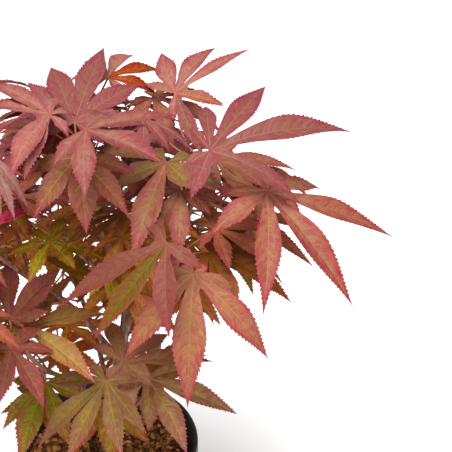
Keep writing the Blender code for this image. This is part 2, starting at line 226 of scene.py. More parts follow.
# mass: bough, stem nodes, leading leaves with their coats, number of fill leaves, coats of those
masses = {
    "foliage_top": ("bough_leader", [(-6, 1, 286), (-6, 0, 300)], [
        leaf("rose", -18, -10, 321, 180, 4, 5, 50, 35, 1.1, wide=7.2, fan={
            1: (1.2, 5), 2: (1.2, -5, -25), 3: (0.9, -25, -15), 4: (1, 25),
            5: (1.25, -15, 15), 6: (1, -10, 0, 0.8)}),
        leaf("mauve", -8, 10, 304, 78, 20, 0, 54, 25, 0.9, wide=7.2, fan={
            3: (1.2,), 4: (1.05, -5), 2: (0.95,), 5: (1.2, -20, -10)}),
        leaf("coral", 1, -25, 322, -32, 0, 0, 48, 35, 1.3, 5, wide=7.4, drawn=1.5, fan={
            3: (1, 0, -25), 4: (1.1, 5, -25, 0.85), 2: (1, -5, 0, 0.85), 1: (0.85, 14, 0, 0.7)}),
        leaf("oliveRose", -4, -25, 306, -84, -18, 0, 46, 30, 1.1, wide=6.4, drawn=1, fan={
            3: (0.9, 5, 0, 1.1), 4: (0.95, -5), 2: (0.9, 5), 1: (0.85, 5), 5: (1, -15)}),
    ], 2, ("rose", "mauve")),
    "foliage_right": ("bough_right", [(54, -9, 274), (60, -6, 286)], [
        leaf("mauve", 61, -27, 311, 28, 3, 15, 76, 24, 1.1, wide=7.6, drawn=1.2, fan={
            3: (1, -10, -15), 4: (1, -10, 0, 0.9), 2: (0.75, -5, 15, 0.7), 1: (0.55, -45, 15, 0.75),
            5: (0.95, -25, 15, 0.75), 6: (0.8, -50, 0, 0.8), 0: (0.6, -30, 0, 0.8)},
             arch={3: 20, 4: 4, 2: 10}),
        leaf("rose", 42, 42, 302, 32, 20, 8, 51, 18, 1.0, wide=5, drawn=0.7, fan={
            3: (1, 3, 0, 0.75), 4: (1.02, -8, 15, 1.15), 5: (1.1, -10, 0, 1.5), 6: (1.25, -20, 0, 1.1),
            2: (0.6, -15, 0, 0.85), 1: (1.25, -25, 0, 1.05)}, tint={1: "mauve", 2: "salmon"}),
        leaf("brick", 89, -30, 289, -46, -10, 0, 75, 38, 1.05, wide=7.6, drawn=1.15, fan={
            3: (0.98, -2), 4: (1.07, 3), 2: (1, 0, 0, 0.9), 1: (0.75, -5), 5: (0.75, -5)},
             arch={3: -8, 4: -7, 2: 0}),
        leaf("limeRose", 39, -10, 293, -108, -15, 0, 50, 30, 1.0, wide=7.2, drawn=1.2, fan={
            3: (1.15,), 2: (0.65, -15), 1: (1.5, -20), 4: (0.5, 15, -25)},
             tint={3: "greenRose"}),
        leaf("mauve", 26, 20, 300, -46, -5, 0, 34, 40, 1.0, 5, wide=3.8, drawn=1.1, fan={
            3: (0.75, -5), 4: (1.15, -20, 0, 0.7), 5: (1.05, -10, 0, 0.7)}),
        leaf("salmon", 63, 30, 268, -15, 0, 0, 46, 30, 1.0, wide=6.4, fan={
            4: (1.1, -15), 3: (0.7, -15)}),
        leaf("bronze", 69, 10, 248, -65, -15, 0, 28, 35, 1.1, 5, wide=4.5, fan={
            3: (1, -5), 4: (0.7, 30)}),
    ], 2, ("mauve", "wine")),
    "foliage_front": ("bough_front", [(44, -36, 254), (46, -40, 264)], [
        leaf("greenRose", 46, -14, 279, -90, -12, 0, 37, 35, 1.0, 5, wide=5.2, drawn=1.2, fan={
            3: (1.1,), 4: (0.6, 15), 2: (0.85, 10, 15)}),
        leaf("dusk", 40, -58, 278, -125, -30, 0, 60, 30, 1.0, 5, wide=7.4, fan={
            2: (1.2, -5, 0, 0.9), 3: (1, -15, 0, 0.85), 4: (0.85, -10, 0, 0.85), 1: (0.9, -40, 25, 0.9),
            5: (0.55, 0, 10, 0.65)}, arch={2: -5, 3: -9}, tint={3: "peat"}),
        leaf("shade", 60, -30, 252, -30, -5, 0, 53, 30, 1.0, wide=7, fan={
            3: (0.95, 5), 4: (0.7, 5, 0, 1.2), 5: (1, 0, -15)}),
        leaf("salmon", 53, -58, 260, -94, -30, 0, 64, 38, 1.0, wide=8.3, drawn=1.05, fan={
            3: (1.05,), 4: (1, 10, 15, 0.85), 2: (0.95, 0, 0, 0.85), 5: (0.6, -14, 10, 0.8),
            1: (0.5, -25, 15), 6: (0.4, 0, 0, 0.8), 0: (0.4, 0, 0, 0.8)}),
    ], 2, ("wine", "shade")),
    "foliage_low_left": ("bough_low_left", [(-36, -20, 172), (-40, -24, 184)], [
        leaf("bronze", -48, -9, 190, 62, 14, 0, 48, 35, 1.0, wide=6.4, fan={
            3: (1.2, 5), 4: (1.15, 0, -25), 2: (0.7, 5)}),
        leaf("gold", -36, -30, 202, 10, 6, 0, 47, 30, 1.4, wide=7.4, fan={
            3: (1, 15), 4: (1.25, 0, -25, 0.65), 2: (1.2, 5)}),
        leaf("garnet", -40, -58, 211, -62, -16, 0, 37, 35, 1.5, 5, wide=5.4, drawn=0.9, fan={
            3: (0.95, 10), 4: (0.7, 20, 0, 0.7), 2: (0.85, 25)}),
        leaf("fern", -30, -18, 153, -100, -15, 0, 30, 25, 1.2, 5, wide=5, fan={
            4: (0.9, -10)}),
        leaf("fern", -28, -39, 155, -118, -30, 0, 44, 25, 1.0, wide=7, fan={
            3: (0.9,), 2: (0.9, 5)}),
    ], 0, ("olive",)),
    "foliage_low_front": ("bough_low_front", [(18, -28, 148), (18, -30, 154)], [
        leaf("plum", 14, -29, 177, 2, 6, 0, 49, 22, 1.0, wide=6.6, fan={
            3: (1, 5), 4: (0.85, 10, 0, 1.2), 5: (1.6, 20), 6: (1.7, 5, -15), 2: (0.5, -10)}),
        leaf("limeRose", 6, -49, 182, -116, -28, 0, 49, 25, 0.9, wide=5.5, drawn=1.1, fan={
            2: (1.15, 5), 3: (0.97, -5), 4: (0.95,), 5: (1.1, -15)}),
        leaf("khaki", 26, -25, 162, -60, -20, 0, 50, 25, 1.2, wide=6.8, drawn=0.8, fan={
            3: (0.95, 5), 4: (1.2,), 5: (0.85, -10), 2: (0.65, 25, 0, 0.8)}),
        leaf("olive", 1, -20, 142, -78, -25, 0, 38, 25, 1.0, 5, wide=6),
    ], 0, ("olive",)),
    "foliage_low_back": ("bough_low_back", [(-24, 52, 184), (-28, 58, 192)], [
        leaf("moss", -33, 60, 200, -85, -8, 0, 32, 20, 1.1, wide=5.4, fan={
            3: (1.25, 5), 4: (1.1, 5), 5: (0.85, -20), 2: (1.25, 10), 1: (1.4, 15)}),
        leaf("moss", -20, 8, 172, 55, -2, 0, 36, 25, 1.1),
    ], 6, ("forest", "olive", "bronze")),
    "foliage_left": ("bough_left", [(-66, -14, 258), (-74, -16, 270), (-82, -16, 280)], [
        leaf("wine", -36, -20, 279, 50, 0, 0, 30, 30, 1.2, 5, fan={3: (1.05, 20, -20)}),
    ], 8, ("rose", "mauve", "wine", "oliveRose")),
    "foliage_back": ("bough_back", [(0, 66, 272), (-2, 72, 282)], [
        leaf("rose", 6, 56, 303, 75, 10, 0, 42, 45, 1.0, tint={1: "ember", 2: "ember"}),
    ], 7, ("rose", "brick", "wine", "mauve")),
    "foliage_low_right": ("bough_low_right", [(42, 52, 206), (45, 60, 216)], [], 6,
                          ("wine", "olive", "forest")),
    "foliage_inner": ("bough_inner", [(-12, -10, 242), (-15, -10, 250)], [
        leaf("moss", 24, 22, 240, -60, -10, 5, 40, 30, 1.0),
        leaf("olive", -14, 34, 232, -125, -10, 0, 36, 28, 1.0, 5),
        leaf("forest", -24, -16, 247, -80, -10, 0, 32, 28, 1.0, 5, wide=4, fan={
            1: (1.1, -30, -10), 2: (1, -14), 4: (1, 14), 5: (1.3, 30, -10)}),
    ], 3, ("moss", "bronze")),
    "foliage_left_front": ("bough_left_front", [(-64, -38, 226), (-70, -42, 234)], [], 7,
                           ("rose", "salmon", "oliveRose", "wine")),
    "foliage_left_back": ("bough_left_back", [(-58, 40, 262), (-62, 46, 272)], [], 7,
                          ("rose", "mauve", "wine")),
    "foliage_right_back": ("bough_right_back", [(58, 46, 256), (62, 54, 266)], [], 6,
                           ("salmon", "rose", "wine")),
}


def curveThrough(points, steps):
    # Catmull-Rom through the points
    pts = [Vector(p) for p in points]
    ends = [pts[0] * 2 - pts[1]] + pts + [pts[-1] * 2 - pts[-2]]
    out = []
    for i in range(1, len(ends) - 2):
        a, b, c, d = ends[i - 1:i + 3]
        for k in range(steps):
            t = k / steps
            out.append(0.5 * (2 * b + (c - a) * t + (2 * a - 5 * b + 4 * c - d) * t ** 2
                              + (3 * b - a - 3 * c + d) * t ** 3))
    out.append(pts[-1])
    return out


def ringFaces(rings, sides, first=0):
    # quads between rings of points, the first ring starting at this point
    faces = []
    for a in range(first, first + (rings - 1) * sides, sides):
        for k in range(sides):
            n = (k + 1) % sides
            faces.append((a + k, a + n, a + sides + n, a + sides + k))
    return faces


def tubeShape(path, radii, sides, turnStart=None):
    points = []
    side = None
    for i, here in enumerate(path):
        ahead = path[min(i + 1, len(path) - 1)] - path[max(i - 1, 0)]
        ahead.normalize()
        if side is None:
            side = turnStart or ahead.orthogonal()
        side = (side - ahead * side.dot(ahead)).normalized()
        up = ahead.cross(side)
        for k in range(sides):
            angle = 2 * math.pi * k / sides
            points.append(here + (side * math.cos(angle) + up * math.sin(angle)) * radii[i])
    ends = [tuple(reversed(range(sides))), tuple(range((len(path) - 1) * sides, len(path) * sides))]
    return points, ringFaces(len(path), sides) + ends


def taperedTrunk(path):
    # plain radius and root flare for each point
    low, high = path[0].z, path[-1].z
    return [(mix(plan["trunkFoot"], plan["trunkFork"], ((p.z - low) / (high - low)) ** 0.8),
             plan["flare"] * math.exp(-(p.z - low) / plan["flareHeight"])) for p in path]


def trunkLine():
    path = curveThrough(plan["trunkPath"], 3)
    path = [path[0], mix(path[0], path[1], 0.35)] + path[1:]
    return path, [plain + flare * 0.5 for plain, flare in taperedTrunk(path)]


def limbPlace(path, radii, share):
    spot = share * (len(path) - 1)
    i = min(int(spot), len(path) - 2)
    t = spot - i
    return (mix(path[i], path[i + 1], t), (path[i + 1] - path[i]).normalized(),
            mix(radii[i], radii[i + 1], t))


def boughLine(name, limbs):
    parent, share, radius, tipRadius, route = boughs[name]
    at, along, parentRadius = limbPlace(*limbs[parent], share)
    lead = []
    if share >= 1.0:
        start = at + along * plan["gap"]
        lead = [start + along * 3 * radius]
    else:
        away = (Vector(route[0]) - at).normalized()
        angle = away.angle(along)
        reach = (parentRadius + plan["gap"] + radius * abs(math.cos(angle))) / math.sin(angle)
        start = at + away * reach
    path = [start] + curveThrough((lead or [start]) + route, 4)[0 if lead else 1:]
    count = len(path) - 1
    return path, [mix(radius, tipRadius, i / count) for i in range(len(path))]


def leafTurn(spec):
    return (Matrix.Rotation(math.radians(spec["heading"]), 3, "Z")
            @ Matrix.Rotation(-math.radians(spec["pitch"]), 3, "Y")
            @ Matrix.Rotation(math.radians(spec["roll"]), 3, "X"))


def lobePoint(spec, lobe, along, across=0.0):
    turn = math.radians(lobeTurns[lobe] * spec["spread"])
    length = spec["lobe"] * lobeLengths[lobe]
    bend = math.radians(spec["droop"])
    out = length * math.sin(bend * along) / bend
    down = length * (1 - math.cos(bend * along)) / bend
    return polar(turn, out, -down, across)


def keptLobes(spec):
    skipped = (len(lobeTurns) - spec["lobes"]) // 2
    return range(skipped, len(lobeTurns) - skipped)


def plainLeaf(spec, thickness=plan["bladeThickness"]):
    # the solids' simple leaf, which the rule tests against what is already there
    kept = keptLobes(spec)
    up = Vector((0, 0, 0.5))
    hub = up * plan["hubThickness"]
    points = [hub, -hub, Vector((-plan["heel"], 0, 0))]
    notch = {kept[0]: 2, kept[-1] + 1: 2}
    for k in kept[1:]:
        sides = lobePoint(spec, k - 1, plan["notch"]) + lobePoint(spec, k, plan["notch"])
        points.append(sides * 0.5)
        notch[k] = len(points) - 1
    faces = []
    for k in kept:
        half = plan["lobeHalfWidth"] * spec["lobe"] * lobeLengths[k]
        middle = lobePoint(spec, k, plan["widest"])
        first = len(points)
        points += [lobePoint(spec, k, plan["widest"], -half), lobePoint(spec, k, plan["widest"], half),
                   lobePoint(spec, k, 1.0), middle + up * thickness, middle - up * thickness]
        right, left, tip, top, bottom = range(first, first + 5)
        for hub, rib in ((0, top), (1, bottom)):
            faces += [(hub, notch[k], right), (hub, right, rib), (rib, right, tip),
                      (rib, tip, left), (hub, rib, left), (hub, left, notch[k + 1])]
    turn = leafTurn(spec)
    return [turn @ p + spec["at"] for p in points], faces


def stalkLine(spec, start):
    joint = spec["at"]
    heading = math.radians(spec["heading"])
    behind = polar(heading, 1, 0.5) * -0.25
    middle = (joint + start) * 0.5 + behind * (joint - start).length * 0.5
    return [start, mix(middle, (joint + start) * 0.5, 0.3), joint]


def plainStalk(spec, start):
    radius = plan["stalkRadius"]
    return tubeShape(stalkLine(spec, start), [radius, radius * 0.9, radius], plan["stalkSides"])


def plainStem(stem):
    count = len(stem) - 1
    radii = [mix(plan["stemFoot"], plan["stemTip"], i / count) for i in range(len(stem))]
    return tubeShape(stem, radii, plan["stemSides"])


def solidOf(shape):
    # a tree to test against, and the ball that holds it
    points = shape[0]
    middle = sum(points, Vector()) / len(points)
    return BVHTree.FromPolygons(*shape), middle, max((p - middle).length for p in points)


def touches(one, other):
    return (one[1] - other[1]).length < one[2] + other[2] and bool(one[0].overlap(other[0]))


def leafFits(mass, spec, start, placed):
    blade = solidOf(plainLeaf(spec, plan["bladeThickness"] + 2 * plan["clear"]))
    stalk = solidOf(plainStalk(spec, start))
    for owner, kind, solid in placed:
        if touches(blade, solid):
            return False
        if (owner != mass or kind == "blade") and touches(stalk, solid):
            return False
    return True


def crownShare(p):
    # how far out a point is, where 1 is the crown's outline
    out = p - plan["crownMiddle"]
    return math.sqrt(sum((out[i] / plan["crownHalf"][i]) ** 2 for i in range(3)))


def insideCrown(spec, room=1.0):
    turn = leafTurn(spec)
    tips = (turn @ lobePoint(spec, k, 1.0) + spec["at"] for k in range(len(lobeTurns)))
    return all(crownShare(tip) <= room for tip in tips)


def fillLeaf(nodes, index, rng):
    # opposite pairs up the stem, each pair turned a quarter from the last
    node = nodes[(index // 2) % len(nodes)]
    turn = 90 * (index // 2) + 180 * (index % 2) + rng.uniform(*plan["fillTurn"])
    length = rng.uniform(*plan["stalkLength"])
    rise = rng.uniform(*plan["fillRise"])
    at = node + polar(math.radians(turn), 1) * length * math.cos(math.radians(rise))
    at.z += length * math.sin(math.radians(rise))
    heading = turn + rng.uniform(*plan["fillHeading"])
    drawn = (rng.uniform(*plan["fill" + each]) for each in ("Pitch", "Roll", "Lobe", "Droop", "Spread"))
    return leaf("", *at, heading, *drawn), node


def planPlant():
    limbs = {"trunk": trunkLine()}
    for name in boughs:
        limbs[name] = boughLine(name, limbs)
    rng = random.Random(plan["seed"])
    leaves, stems = {}, {}
    placed = [(name, "wood", solidOf(tubeShape(path, radii, plan["limbSides"])))
              for name, (path, radii) in limbs.items()]

    def add(mass, spec, root):
        leaves[mass].append((spec, root))
        placed.append((mass, "blade", solidOf(plainLeaf(spec))))
        placed.append((mass, "stalk", solidOf(plainStalk(spec, root))))

    for name, (bough, route, *_) in masses.items():
        path = limbs[bough][0]
        start = path[-1] + (path[-1] - path[-2]).normalized() * plan["gap"]
        stems[name] = [start] + [Vector(p) for p in route]
        placed.append((name, "stem", solidOf(plainStem(stems[name]))))
        leaves[name] = []
    for name, (_, _, leading, _, _) in masses.items():
        for spec in leading:
            nodes = stems[name][1:]
            add(name, spec, min(nodes, key=lambda node: (node - spec["at"]).length))
    for name, (_, _, _, extra, coatNames) in masses.items():
        for index in range(extra):
            for _ in range(plan["fillTries"]):
                spec, root = fillLeaf(stems[name][1:], index, rng)
                if insideCrown(spec) and leafFits(name, spec, root, placed):
                    spec["coat"] = coatNames[index % len(coatNames)]
                    add(name, spec, root)
                    break
    return limbs, stems, leaves, placed


# by number in their mass: leaves that aren't drawn, as they would hide a leading one or close a gap
leftOut = {
    "foliage_left_front": (0, 5, 6), "foliage_left": (6,), "foliage_front": (6,), "foliage_right": (12,),
    "foliage_low_back": (5, 10), "foliage_low_left": (4,), "foliage_inner": (1,),
}
# leaves that are drawn with another turn or more reach than their solid has
redrawn = {
    ("foliage_low_left", 0): leaf(
        "garnet", -44, -32, 209, 62, 50, 0, 39, 25, 1.0, 5, wide=6.8, drawn=0.9, fan={
            1: (0.35, 0, 0, 0.5), 2: (0.6, -20, 0, 0.6), 3: (1, -26), 4: (1, -14)}),
    ("foliage_inner", 2): leaf(
        "forest", -22, -16, 248, -60, -6, 0, 27, 20, 1.2, wide=3.9, drawn=0.9, fan={
            0: (2, -8, 0, 1.5), 1: (1.35, 0, 0, 1.2), 2: (1.2,), 3: (0.85, 10, 0, 1.1),
            4: (1.35, -2, 0, 1.3), 5: (1.15, 0, 0, 1.2), 6: (2.9, -16, 0, 1.7)}),
    ("foliage_low_left", 3): leaf(
        "fern", -30, -18, 153, -112, -22, 0, 46, 28, 1.0, wide=7.6, fan={
            0: (0.9,), 1: (0.75, 0, 0, 0.8), 2: (0.85, 12, 0, 0.65), 4: (0.95, 0, 0, 0.8),
            5: (0.8, 5, 0, 0.7), 6: (1.6, 0, 20, 0.9)}),
}
# leaves that only the drawn plant has
added = {
    "foliage_left": [
        leaf("crimson", -50, -32, 268, 42, 8, 0, 27, 10, 0.2, 3, wide=3, drawn=1),
        leaf("blush", -49, -20, 307, -60, -18, 0, 42, 30, 0.3, 3, wide=3, drawn=1.2)],
    "foliage_low_left": [
        leaf("bronze", -26, 10, 150, 20, 5, 0, 30, 20, 1.1, wide=5)],
}

# Finer twigs, grown once more by the same rule from further back on each bough and stem
finer = {
    "seed": 4,
    "shares": (0.4, 0.6, 0.8, 0.97),
    "rounds": 2,
    "twigLength": (8, 22),
    "twigRadius": 0.55,
    "rise": (-0.2, 0.9),        # radians
    "pair": (-55, 55),          # degrees to each side of the twig, give or take the next
    "stray": (-15, 15),
    "stalkLength": (9, 20),
    "stalkRise": 0.4,
    "pitch": (-25, 5),
    "roll": (-15, 15),
    "lobe": (24, 38),
    "droop": (20, 40),
    "spread": (0.95, 1.15),
    "tries": 16,
    "room": 0.94,
    "paintedThroughLightCoats": ("forest", "olive", "moss", "bronze"),
    "deep": 0.55,               # nearer the crown's middle than this, a leaf takes a brighter coat that paints the light shining through leaves in shade
    "low": 195,                 # mm up, and so it does below this
}


openings = {
    "front": Vector((0, -math.cos(math.radians(viewDown)), math.sin(math.radians(viewDown)))),
    # gaps through the crown as seen from there: x, height across the line of sight, radius
    "windows": ((3, 149, 6), (-8, 124, 5), (74, 139, 9), (70, 106, 8), (6, 235, 2), (-58, 238, 3)),
    "behind": 4,                # mm that a smaller leaf stays behind a leading one's joint,
    "beside": 0.8,              # unless it is further beside it than this share of its lobe
}


def leavesViewOpen(spec, leading):
    # smaller leaves stay behind the leading ones and clear of the windows
    front = openings["front"]
    for lead in leading:
        offset = spec["at"] - lead["at"]
        nearer = offset.dot(front)
        apart = (offset - front * nearer).length
        if nearer > -openings["behind"] and apart < openings["beside"] * lead["lobe"]:
            return False
    turn = leafTurn(spec)
    for k in keptLobes(spec):
        for along in (0, 0.5, 1):
            p = turn @ lobePoint(spec, k, along) + spec["at"]
            height = p.y * front.z - p.z * front.y
            for x, up, radius in openings["windows"]:
                if (p.x - x) ** 2 + (height - up) ** 2 < radius ** 2:
                    return False
    return True


def growTwigs(limbs, stems, placed):
    rng = random.Random(finer["seed"])
    leading = [spec for _, _, found, _, _ in masses.values() for spec in found]
    twigs = {name: [] for name in masses}
    extra = {name: [] for name in masses}
    for _ in range(finer["rounds"]):
        for name, (bough, _, _, _, coatNames) in masses.items():
            nodes = [limbPlace(*limbs[bough], share)[0] for share in finer["shares"]] + stems[name]
            for node in nodes:
                for _ in range(finer["tries"]):
                    turn = rng.uniform(0, 2 * math.pi)
                    rise = rng.uniform(*finer["rise"])
                    away = polar(turn, math.cos(rise), math.sin(rise))
                    tip = node + away * rng.uniform(*finer["twigLength"])
                    twig = [node, mix(node, tip, 0.55) + Vector((0, 0, 1)), tip]
                    solid = solidOf(tubeShape(twig, [finer["twigRadius"]] * 3, plan["stalkSides"]))
                    if any(kind == "blade" and touches(solid, other) for _, kind, other in placed):
                        continue
                    grown = []
                    for side in finer["pair"]:
                        heading = math.degrees(turn) + side + rng.uniform(*finer["stray"])
                        reach = polar(math.radians(heading), 1, finer["stalkRise"])
                        at = tip + reach * rng.uniform(*finer["stalkLength"])
                        shaded = crownShare(at) < finer["deep"] or at.z < finer["low"]
                        # leaves in shade take the coats that paint the light shining through them
                        coat = rng.choice(finer["paintedThroughLightCoats"] if shaded else coatNames)
                        drawn = [rng.uniform(*finer[each])
                                 for each in ("pitch", "roll", "lobe", "droop", "spread")]
                        spec = leaf(coat, *at, heading, *drawn, rng.choice((5, 7)))
                        if (insideCrown(spec, finer["room"]) and leavesViewOpen(spec, leading)
                                and leafFits(name, spec, tip, placed)):
                            grown.append((spec, tip))
                            placed.append((name, "blade", solidOf(plainLeaf(spec))))
                            placed.append((name, "stalk", solidOf(plainStalk(spec, tip))))
                    if grown:
                        twigs[name].append(twig)
                        extra[name] += grown
                        placed.append((name, "stalk", solid))
                        break
    return twigs, extra


limbs, stems, leaves, placed = planPlant()
for mass, found in added.items():
    for spec in found:
        leaves[mass].append((spec, min(stems[mass][1:], key=lambda node: (node - spec["at"]).length)))
        placed.append((mass, "blade", solidOf(plainLeaf(spec))))
twigs, extraLeaves = growTwigs(limbs, stems, placed)
print("planned", sum(len(found) for found in leaves.values()), "leaves and",
      sum(len(found) for found in extraLeaves.values()), "smaller ones")


# Leaf blades

# Living maple leaf: thin and satin on top. Each coat is a run of plain colours from the heart of
# a lobe to its edge, again a little nearer the vein's colour along the side veins, and one each
# for midrib, tip and the duller underside: vein, heart, blade, edge, tip
# bronze, plum, forest, olive and moss are brighter and warmer than those leaves are: painted light,
# standing in for the light that shines through leaves deep in the crown and low down
coats = {
    "rose": ("#AC7464", "#9A6656", "#924E4A", "#8C323A", "#963A46"),
    "coral": ("#A06C5C", "#8C5A4A", "#853F3C", "#802E38", "#8C3446"),
    "brick": ("#A86E50", "#905E46", "#8F4638", "#8E2B35", "#922D40"),
    "mauve": ("#9C6A58", "#804C40", "#834042", "#822E3C", "#873242"),
    "shade": ("#7C4A16", "#6A3E0E", "#76400F", "#8E3E2B", "#923232"),
    "peat": ("#7C6626", "#5E4C0A", "#6C4614", "#84392C", "#8C343A"),
    "dusk": ("#885848", "#7A4634", "#7B3E32", "#843038", "#86303C"),
    "crimson": ("#CC5A72", "#B42844", "#B42C4C", "#C83E5E", "#B02646"),
    "blush": ("#967A62", "#886452", "#8C5C54", "#8A484C", "#8C4450"),
    "oliveRose": ("#A07648", "#7A4C26", "#7C4230", "#812C30", "#90384A"),
    "limeRose": ("#9A8438", "#7A6228", "#7B5036", "#904448", "#96424E"),
    "greenRose": ("#A08650", "#966448", "#924C41", "#8E383E", "#983C48"),
    "khaki": ("#BCA258", "#A48248", "#986248", "#A05852", "#9C505A"),
    "salmon": ("#A87A4E", "#976442", "#955341", "#94363C", "#9C3440"),
    "bronze": ("#DCA854", "#BC7E42", "#BC6E42", "#C06244", "#A04032"),
    "gold": ("#C4A05A", "#967A38", "#996A38", "#B05C48", "#B05450"),
    "wine": ("#A06242", "#965438", "#8C4630", "#8A3230", "#8E343A"),
    "plum": ("#AA9258", "#9C6E4C", "#9A664E", "#985250", "#9A4A54"),
    "garnet": ("#98684A", "#7C4630", "#7E3A32", "#8E3442", "#90344A"),
    "fern": ("#B4B040", "#848410", "#8C7024", "#9A4C34", "#9C443C"),
    "forest": ("#B8AC3C", "#8A7C08", "#8E6A10", "#984420", "#A0341A"),
    "olive": ("#D0B030", "#A08428", "#A06830", "#A64436", "#A44034"),
    "moss": ("#F4D448", "#D29C44", "#D08440", "#D25C3C", "#CC4830"),
    "ember": ("#B0641E", "#923C16", "#862A08", "#7D1C08", "#7A1208"),
}
leafFinish = {
    "steps": 9,                 # plain colours between heart and edge
    "roughness": 0.46,
    "gloss": 0.15,
    "undersideRoughness": 0.7,
    "undersideFade": 0.25,      # how far the underside goes towards the vein's colour
    "fades": {"plain": 0.0, "pale": 0.26, "sideVein": 0.42, "midrib": 0.66},   # and these on top
    "deepFade": 0.34,           # how far deep flecks go towards the tip's colour
    "edgeward": (0.62, 1.4),    # how far along the run a lobe's edge is, and how late that comes
    "tipward": (0.3, 0.9, 0.62),        # more for its length, and yet more past this share of it
    "tipPart": 0.93,            # past this share a lobe has its tip's colour
    "mottle": 0.27,             # how far patches stray along the run
    "speckle": 0.03,
    "patches": ((5.0, 1.5), (2.4, 0.6)),        # mm, strength
    "fleckSize": 1.5,           # mm
    "fleckChance": 0.35,
    "fleckLimit": 0.28,         # only stronger flecks show
    "netCell": 1.5,             # mm between the finest veins
    "netRelief": 0.35,          # mm
}
coatMaterials = {}


def mixedHex(a, b, t):
    parts = [round(mix(int(a[i:i + 2], 16), int(b[i:i + 2], 16), t)) for i in (1, 3, 5)]
    return "#%02X%02X%02X" % tuple(parts)


def coatColour(coat, part):
    vein, heart, blade, edge, tip = coats[coat]
    if part == "tip":
        return tip
    if part == "under":
        return mixedHex(blade, vein, leafFinish["undersideFade"])
    step, kind = part
    t = step / (leafFinish["steps"] - 1) * 2
    plain = mixedHex(heart, blade, t) if t <= 1 else mixedHex(blade, edge, t - 1)
    if kind == "deep":
        return mixedHex(plain, tip, leafFinish["deepFade"])
    return mixedHex(plain, vein, leafFinish["fades"][kind])


def addLeafNet(made):
    # the blade swells a little between its finest veins, so light breaks up on it
    place = addNode(made, "ShaderNodeTexCoord", {}, [])
    scale = 1 / (leafFinish["netCell"] * mm)
    cells = addNode(made, "ShaderNodeTexVoronoi", {"feature": "DISTANCE_TO_EDGE", "Scale": scale},
                    [("Vector", place, "Object")])
    addBump(made, cells, "Distance", 0.8, leafFinish["netRelief"])


def coatMaterial(coat, part):
    key = (coat, part)
    if key not in coatMaterials:
        roughness = leafFinish["undersideRoughness" if part == "under" else "roughness"]
        label = part if part in ("tip", "under") else "%s %d" % (part[1], part[0])
        made = newMaterial("maple leaf %s %s" % (coat, label), coatColour(coat, part), roughness,
                           Specular_IOR_Level=leafFinish["gloss"])
        if part != "under":
            addLeafNet(made)
        coatMaterials[key] = made
    return coatMaterials[key]


leafCut = {
    "webRadii": (0.03, 0.058, 0.084, 0.11, 0.135),     # shares of the middle lobe's length
    "webEnds": (2, 3, 4, 4, 3, 2),                      # last of those rows on each web between lobes
    "outerWeb": 26,             # degrees from an outermost lobe's middle to its free side
    "webRise": 0.06,            # how steeply a web rises from the midribs beside it
    "webChannel": (0.18, 4),    # mm that a midrib lies sunk in it, and how far out that is reached
    "wide": 2.4,                # a middle lobe's widest half, mm, and how much more for each mm of length
    "wider": 0.072,
    "base": 0.26,               # share of its widest half that a lobe starts with
    "widest": 0.5,              # where along it that is reached
    "drawn": 0.85,              # how far the tips are drawn out
    "tipShare": (0.2, 0.45),    # rounded share of the tip's outline, and more for each drawn
    "tipCurve": 1.6,
    "toothSpacing": 2.5,        # mm
    "toothDepth": 0.62,
    "toothFade": (0.35, 0.2, 0.3),      # its share at a lobe's base, where it grows, over what length
    "bite": {"dip": -0.4, "tooth": 0.6, "tip": 0.0},
    "toothPlace": (0.2, 0.5),   # between two dips; here and below, first a tooth with a side vein
    "toothSizes": (1.15, 0.75),
    "toothReach": (0.62, 0.35),
    "lastTooth": 0.9,
    "lean": 0.9,                # side veins run forward at about 45 degrees
    "midrib": 0.28,             # its half width at the joint, mm
    "midribTip": 0.3,           # and the share of that at the tip
    "channel": 0.2,             # mm that it lies sunk in the top
    "keel": 0.25,               # mm that it stands out below
    "thickness": 0.32,
    "pillow": {"dip": 0.5, "tooth": 0.36},      # mm that the blade swells between side veins
    "sunk": -0.1,               # and along them
    "crinkle": (0.5, 0.55),     # mm, and how close the crinkles are
    "columns": (0.28, 0.53, 0.78),
    "arch": (0, 5),             # degrees, drawn by lot for each lobe, as the next four are
    "fold": (0.12, 0.36),       # how steeply its halves rise from the midrib
    "sweep": (-0.06, 0.06),     # how far its tip is swept aside
    "wave": (0, 6.28),
    "shade": (-0.12, 0.12),     # how far its colours start along the run
    "waviness": 0.09,
    "waves": 9,
    "outOfStep": 1.5,           # radians between the waves of its two halves
    "straight": 0.2,            # share of a lobe before its tip is swept aside
    "seed": 5,
}


def halfWidth(s, drawn):
    # share of a lobe's widest half, from a narrow base to a long tip
    top = leafCut["widest"]
    if s <= top:
        return mix(leafCut["base"], 1, ease(s / top))
    u = min(1.0, (s - top) / (1 - top))
    share = leafCut["tipShare"][0] + leafCut["tipShare"][1] * drawn
    return share * (1 - ease(u)) + (1 - share) * (1 - u ** leafCut["tipCurve"])


